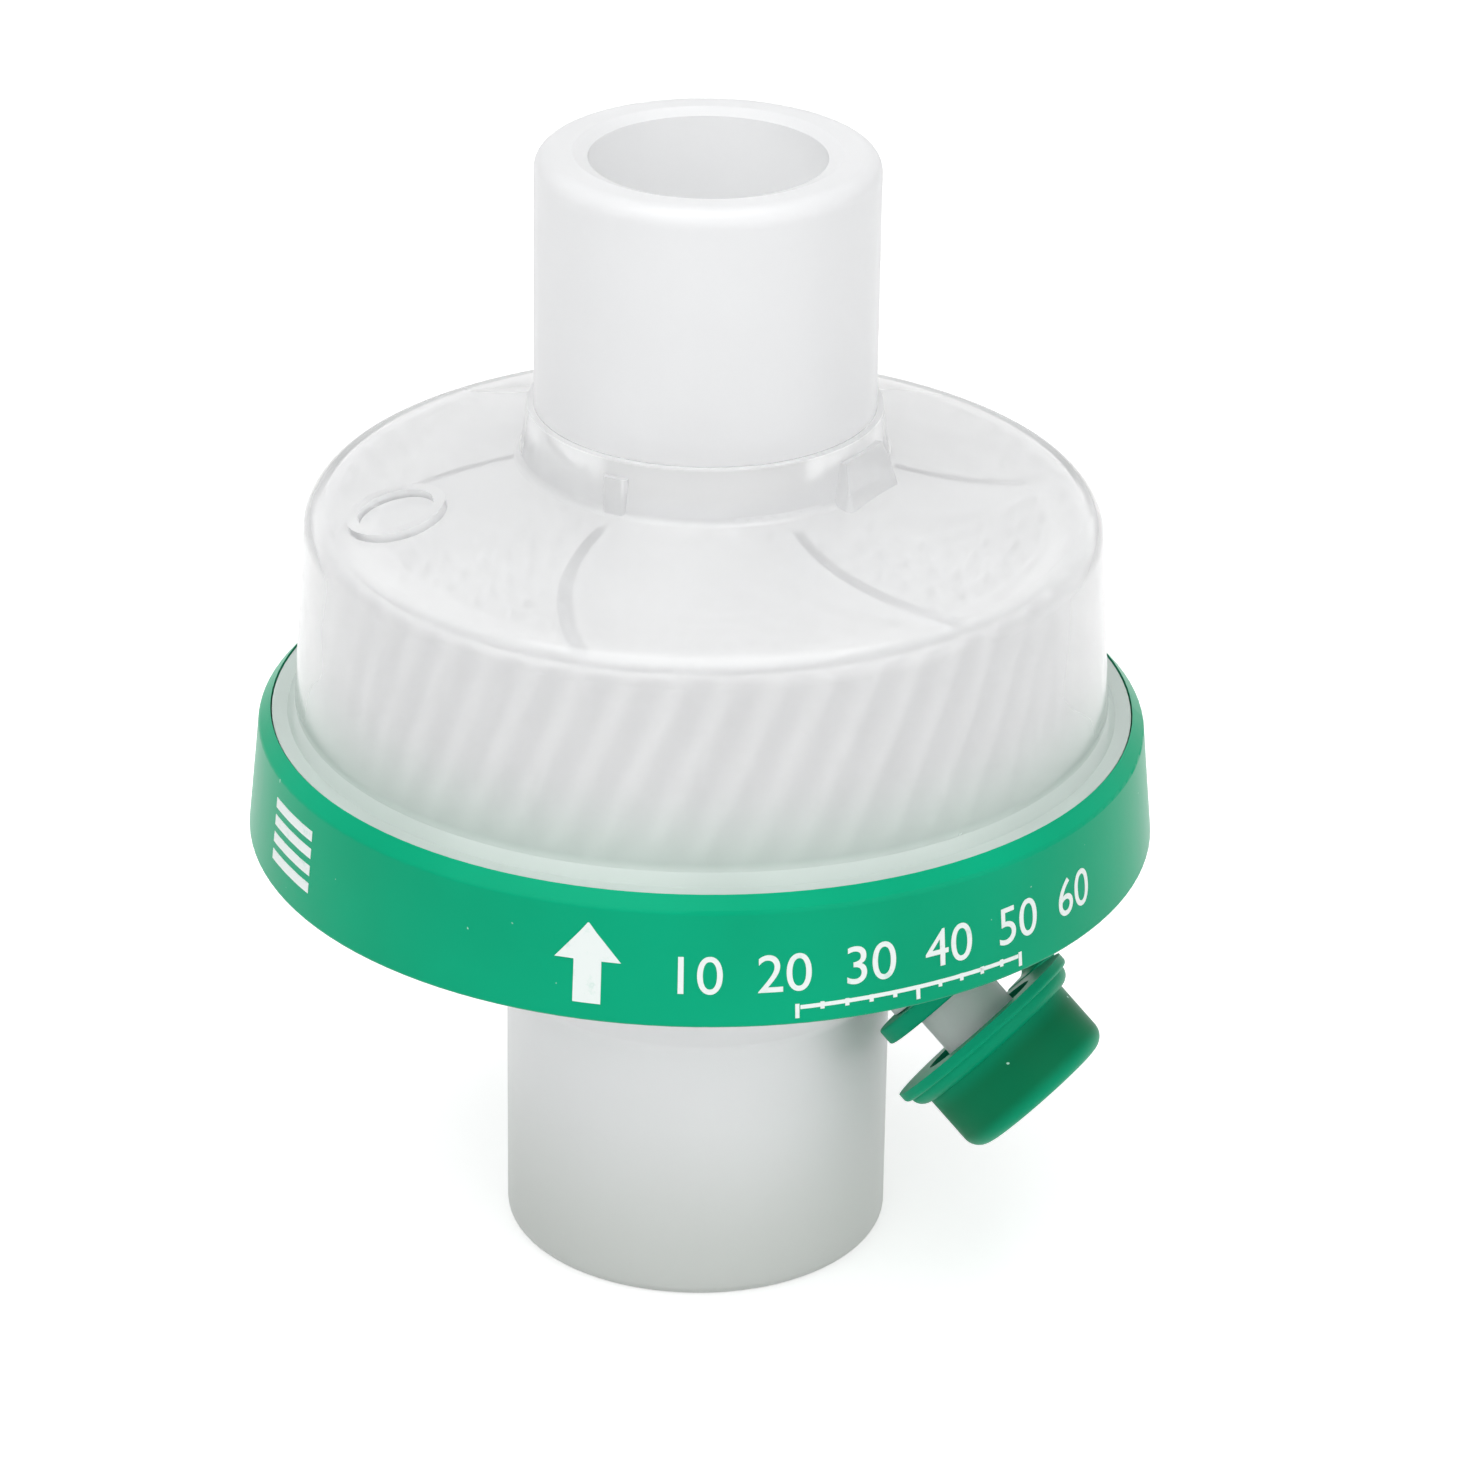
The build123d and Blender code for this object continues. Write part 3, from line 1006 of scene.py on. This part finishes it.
@dataclass
class RingPrint:
    """White print on the ring: a flow arrow, plain numbers, a tick scale and bars."""

    radius: float = 29.4 * MM
    proud: float = 0.03 * MM
    sunk_side: float = -0.8
    arrow_angle: float = -103.1
    arrow_middle: float = 33.1 * MM
    arrow_size: float = 5.2 * MM
    shaft_width: float = 0.34
    shaft_length: float = 0.55
    shaft_drop: float = 0.22
    head_spread: float = 2.4
    head_widths: tuple[float, ...] = (0.75, 0.5, 0.25, 0.02)
    head_step: float = 0.12
    number_first: float = -90.0
    number_last: float = -36.0
    number_base: float = 31.6 * MM
    number_size: float = 3.6 * MM
    numbers: tuple[str, ...] = ("10", "20", "30", "40", "50", "60")
    scale_first: float = -77.7
    scale_last: float = -46.7
    scale_top: float = 30.7 * MM
    scale_low: float = 29.75 * MM
    scale_line: float = 0.26 * MM
    scale_ticks: int = 11
    long_tick_every: int = 5
    bars_first: float = -158.0
    bars_last: float = -147.0
    bars: tuple[float, ...] = (31.3 * MM, 32.5 * MM, 33.7 * MM, 34.9 * MM)
    bar_height: float = 0.7 * MM
    line_step: float = 1.5

    def place(self, piece: bpy.types.Object, angle: float) -> bpy.types.Object:
        """Turns a flat piece from the front to its angle on the ring and lays it on.

        Args:
            piece: a flat mesh in front of the ring, facing along -Y.
            angle: its angle about the axis, in degrees.

        Returns:
            The piece.
        """
        clear_selection()
        piece.select_set(True)
        bpy.context.view_layer.objects.active = piece
        piece.rotation_euler = (0, 0, math.radians(angle + 90))
        bpy.ops.object.transform_apply(location=True, rotation=True, scale=True)
        modify(
            piece,
            "SHRINKWRAP",
            {
                "target": frame["nodes"]["colour_ring"],
                "wrap_method": "NEAREST_SURFACEPOINT",
                "wrap_mode": "ABOVE_SURFACE",
                "offset": self.proud,
            },
        )
        return piece

    def patch(self, first: float, last: float, low: float, high: float) -> bpy.types.Object:
        """A bar between two angles and two heights.

        Args:
            first: the angle of its left end, in degrees.
            last: the angle of its right end.
            low: height of its lower edge.
            high: height of its upper edge.

        Returns:
            The piece, laid on the ring.
        """
        width = math.radians(last - first) * self.radius
        steps = max(2, math.ceil((last - first) / self.line_step))
        clear_selection()
        bpy.ops.mesh.primitive_grid_add(x_subdivisions=steps, y_subdivisions=2, size=1)
        piece = bpy.context.object
        piece.scale = (width, high - low, 1)
        piece.rotation_euler = (math.pi / 2, 0, 0)
        bpy.ops.object.transform_apply(location=False, rotation=True, scale=True)
        with Clay("patch") as clay:
            bpy.ops.mesh.select_all(action="SELECT")
            bpy.ops.transform.translate(value=(0, -self.radius, (low + high) / 2))
        return self.place(clay.piece, (first + last) / 2)

    def arrow(self) -> bpy.types.Object:
        """A plain arrow that points along the flow.

        Returns:
            The piece, laid on the ring.
        """
        size = self.arrow_size
        clear_selection()
        bpy.ops.mesh.primitive_grid_add(x_subdivisions=4, y_subdivisions=6, size=1)
        piece = bpy.context.object
        piece.scale = (size * self.shaft_width, size * self.shaft_length, 1)
        piece.rotation_euler = (math.pi / 2, 0, 0)
        bpy.ops.object.transform_apply(location=False, rotation=True, scale=True)
        with Clay("arrow") as clay:
            bpy.ops.mesh.select_all(action="SELECT")
            middle = self.arrow_middle - size * self.shaft_drop
            bpy.ops.transform.translate(value=(0, -self.radius, middle))
            top = middle + size * self.shaft_length / 2
            foot = (0, -self.radius, top)
            clay.pick(lambda place: place.z > top - MERGE)
            bpy.ops.mesh.extrude_region_move(TRANSFORM_OT_translate={"value": (0, 0, 0)})
            bpy.ops.transform.resize(value=(self.head_spread, 1, 1), center_override=foot)
            before = 1.0
            for width in self.head_widths:
                bpy.ops.mesh.extrude_region_move(
                    TRANSFORM_OT_translate={"value": (0, 0, size * self.head_step)}
                )
                bpy.ops.transform.resize(value=(width / before, 1, 1), center_override=foot)
                before = width
        return self.place(clay.piece, self.arrow_angle)

    def number(self, text: str, angle: float) -> bpy.types.Object:
        """A plain number.

        Args:
            text: its digits.
            angle: its angle about the axis, in degrees.

        Returns:
            The piece, laid on the ring.
        """
        clear_selection()
        bpy.ops.object.text_add(rotation=(math.pi / 2, 0, 0))
        piece = bpy.context.object
        piece.data.body = text
        piece.data.size = self.number_size
        piece.data.align_x = "CENTER"
        piece.location = (0, -self.radius, self.number_base)
        bpy.ops.object.convert(target="MESH")
        piece = bpy.context.object
        bpy.ops.object.transform_apply(location=True, rotation=True, scale=True)
        return self.place(piece, angle)

    def build(self) -> None:
        """Builds the print and lays it on the ring."""
        parts = [self.arrow()]
        step = (self.number_last - self.number_first) / (len(self.numbers) - 1)
        for index, text in enumerate(self.numbers):
            parts.append(self.number(text, self.number_first + index * step))
        line = self.scale_line
        edge = math.degrees(line / self.radius)
        top = self.scale_top
        parts.append(self.patch(self.scale_first, self.scale_last, top - line, top))
        for index in range(self.scale_ticks):
            share = index / (self.scale_ticks - 1)
            angle = self.scale_first + share * (self.scale_last - self.scale_first)
            is_long = index % self.long_tick_every == 0
            low = self.scale_low if is_long else (self.scale_low + top) / 2
            parts.append(self.patch(angle - edge / 2, angle + edge / 2, low, top))
        for low in self.bars:
            high = low + self.bar_height
            parts.append(self.patch(self.bars_first, self.bars_last, low, high))
        ink = join("ring_print", parts)
        modify(ink, "SOLIDIFY", {"thickness": self.proud, "offset": self.sunk_side})
        settle(ink)
        dress(ink, PrintInk("print_white").build())
        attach(ink, Body.FILTER.value)


@dataclass(frozen=True)
class Lamp:
    """A square soft lamp: its name, place in metres, side in metres and power in watts."""

    name: str
    place: tuple[float, float, float]
    side: float
    power: float

    def hang(self, target: Vector) -> None:
        """Hangs the lamp so that it looks at a point.

        Args:
            target: the point.
        """
        data = bpy.data.lights.new(self.name, "AREA")
        data.size = self.side
        data.energy = self.power
        lamp = bpy.data.objects.new(self.name, data)
        lamp.visible_transmission = False
        lamp.location = self.place
        aim = target - Vector(self.place)
        lamp.rotation_euler = aim.to_track_quat("-Z", "Y").to_euler()
        bpy.context.scene.collection.objects.link(lamp)


@dataclass
class Studio:
    """Floor, light and camera."""

    floor_size: float = 4.0
    floor_colour: Colour = (0.8, 0.8, 0.8, 1.0)
    floor_glow: float = 0.52
    sky_colour: Colour = (1.0, 1.0, 1.0, 1.0)
    sky_light: float = 0.46
    lamps: tuple[Lamp, ...] = (
        Lamp("key", (-0.35, -0.45, 0.6), side=0.9, power=2.7),
        Lamp("top", (0.0, -0.05, 0.75), side=0.6, power=2.5),
        Lamp("fill", (0.5, -0.5, 0.22), side=0.8, power=1.8),
    )
    lamp_target: tuple[float, float, float] = (0.0, 0.0, 0.04)
    camera_place: tuple[float, float, float] = (2.218 * MM, -352.609 * MM, 203.220 * MM)
    pitch: float = 25.478
    roll: float = 0.86
    focal_pixels: float = 5942.0
    frame_pixels: float = 1470.0
    sensor: float = 36.0
    clip_start: float = 0.01

    def floor(self) -> None:
        """A wide pale floor that keeps the object's shadow."""
        clear_selection()
        bpy.ops.mesh.primitive_plane_add(size=self.floor_size, location=(0, 0, 0))
        plane = bpy.context.object
        plane.name = "floor"
        sheet = Finish("floor_white")
        shade = sheet.node("ShaderNodeBsdfDiffuse", {}, {"Color": self.floor_colour})
        glow = sheet.node(
            "ShaderNodeEmission", {}, {"Strength": sheet.white_rays() * self.floor_glow}
        )
        both = sheet.node("ShaderNodeAddShader", {}, {0: shade, 1: glow})
        dress(plane, sheet.finish(both))

    def world(self) -> None:
        """White all round, at full strength only where it is seen."""
        world = bpy.data.worlds.new("studio")
        world.use_nodes = True
        bpy.context.scene.world = world
        sheet = Sheet(world.node_tree)
        strength = sheet.white_rays() * (1 - self.sky_light) + self.sky_light
        back = sheet.node(
            "ShaderNodeBackground", {}, {"Color": self.sky_colour, "Strength": strength}
        )
        outlet = sheet.tree.nodes.new("ShaderNodeOutputWorld")
        sheet.tree.links.new(back.socket, outlet.inputs["Surface"])

    def camera(self) -> None:
        """The camera at the photograph's place."""
        data = bpy.data.cameras.new("camera")
        data.sensor_fit = "HORIZONTAL"
        data.sensor_width = self.sensor
        data.lens = self.focal_pixels / self.frame_pixels * self.sensor
        data.clip_start = self.clip_start
        camera = bpy.data.objects.new("camera", data)
        tilt = Euler((math.radians(90 - self.pitch), 0, 0)).to_matrix()
        turn = Matrix.Rotation(math.radians(self.roll), 3, "Z")
        camera.matrix_world = Matrix.Translation(self.camera_place) @ (tilt @ turn).to_4x4()
        bpy.context.scene.collection.objects.link(camera)
        bpy.context.scene.camera = camera

    def build(self) -> None:
        """Builds the studio."""
        self.floor()
        self.world()
        for lamp in self.lamps:
            lamp.hang(Vector(self.lamp_target))
        self.camera()
        bpy.context.scene.view_settings.view_transform = "Standard"


@dataclass
class Mouldings:
    """The CAD pieces that keep their shape and get their finish here."""

    white: Colour = (0.95, 0.955, 0.965, 1.0)
    # Painted green light from the ring: paler on the flange inside the ring, darker as
    # painted shade at the wall's foot.
    flange: Colour = (0.80, 0.91, 0.86, 1.0)
    wall_foot_green_shade: Colour = (0.72, 0.86, 0.79, 1.0)
    # Painted shade that greys the socket towards its foot.
    socket_foot_shade: Colour = (0.76, 0.79, 0.76, 1.0)
    # Painted shade: the cap's greens are much darker than the ring's, standing in for the
    # shade the ring casts on it.
    cap_green_shaded: Colour = (0.0, 0.19, 0.08, 1.0)
    cap_deep_shaded: Colour = (0.0, 0.16, 0.065, 1.0)

    def upper(self) -> HousingPlastic:
        """Hazy wall with painted green light and shade from the ring at its foot, clear
        cover and frosted port.

        Returns:
            The upper housing's finish.
        """
        return HousingPlastic(
            "upper_plastic",
            (
                # Painted green light and shade from the ring on the flange and the wall's
                # foot.
                Zone(0.0, 0.0, roughness=0.22, milk=0.6, grain=0.0, colour=self.flange),
                Zone(
                    38.8 * MM, 0.6 * MM, roughness=0.2, milk=0.42, grain=0.0,
                    colour=self.wall_foot_green_shade,
                ),
                Zone(
                    41.0 * MM, 7.0 * MM, roughness=0.17, milk=0.31, grain=0.0,
                    colour=self.white,
                ),
                Zone(
                    51.6 * MM, 1.0 * MM, roughness=0.10, milk=0.4, grain=0.0,
                    colour=self.white,
                ),
                Zone(
                    58.9 * MM, 0.3 * MM, roughness=0.34, milk=0.6, grain=1.0,
                    colour=self.white,
                ),
            ),
        )

    def lower(self) -> HousingPlastic:
        """Frosted socket with painted shade that greys it towards its foot, under a smooth
        flange.

        Returns:
            The lower housing's finish.
        """
        return HousingPlastic(
            "lower_plastic",
            (
                # Painted shade towards the socket's foot.
                Zone(
                    0.0, 0.0, roughness=0.38, milk=0.75, grain=1.0,
                    colour=self.socket_foot_shade,
                ),
                Zone(
                    9.0 * MM, 16.0 * MM, roughness=0.38, milk=0.85, grain=1.0,
                    colour=self.white,
                ),
                Zone(
                    29.0 * MM, 0.3 * MM, roughness=0.18, milk=0.4, grain=0.0,
                    colour=self.white,
                ),
            ),
        )

    def build(self) -> None:
        """Dresses each CAD piece."""
        nodes = frame["nodes"]
        felt = WhitePaper("membrane_felt", fibres=2600.0, crinkles=900.0)
        port = port_frame()
        # Where the cap's painted light goes.
        painted_light = CapPaintedLight(port.translation, port.col[2].xyz)
        # The cap's darker greens are painted shade, and its brim and roof edge get painted
        # light.
        cap = GreenPlastic(
            "cap_plastic", self.cap_green_shaded, self.cap_deep_shaded, roughness=0.42, painted_light=painted_light
        )
        dress(nodes["upper_housing"], self.upper().build())
        dress(nodes["lower_housing"], self.lower().build())
        dress(nodes["colour_ring"], GreenPlastic("ring_plastic").build())
        dress(nodes["luer_cap"], cap.build())
        dress(nodes["filter_membrane"], felt.build())


def main() -> None:
    """Builds everything in order."""
    logging.basicConfig(level=logging.INFO, format="%(message)s")
    Studio().build()
    Mouldings().build()
    PaperRoll().build()
    Tether().build()
    RingPrint().build()


if __name__ == "__main__":
    main()
